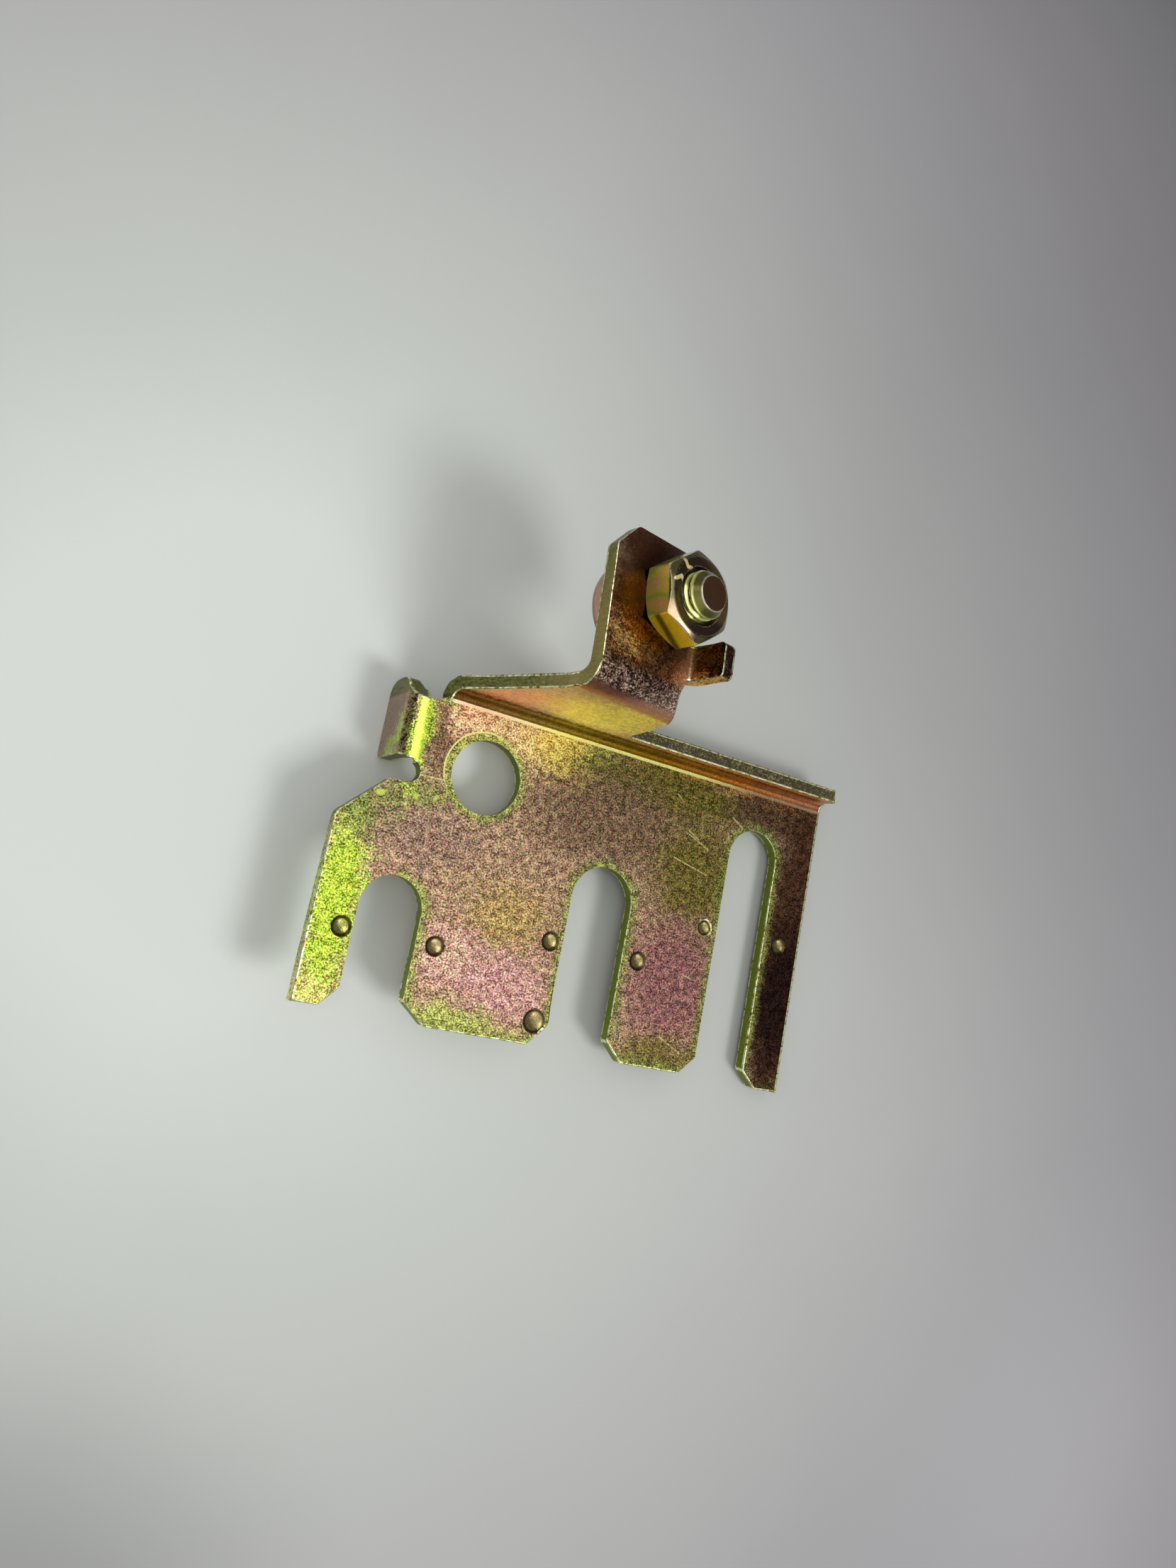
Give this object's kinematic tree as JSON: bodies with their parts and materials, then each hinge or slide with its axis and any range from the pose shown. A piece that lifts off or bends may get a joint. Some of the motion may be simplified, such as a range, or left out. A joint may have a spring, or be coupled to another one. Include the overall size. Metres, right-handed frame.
{
  "type": "stamped metal bracket",
  "caption": "Flat slotted bracket plate with a folded lip and raised arm, whose bent-over lug carries a bolt and nut, and a folded prop tab at the side.",
  "frame": {"origin": "centre of the round hole, on the plate's outer face", "axes": "+X along the first fold, from the prop tab to the narrow finger; +Y from the fingers to the folded lip; +Z out of the plate's outer face, the way the arm rises"},
  "size_m": [0.07, 0.0616, 0.034],
  "materials": {
    "plated_sheet": "yellow zinc plating, speckled satin",
    "plated_nut": "yellow zinc plating, glossy",
    "plated_bolt": "yellow zinc plating, glossy"
  },
  "bodies": {
    "root": {"bracket": "plated_sheet", "nut": "plated_nut", "bolt": "plated_bolt"}
  },
  "joints": []
}
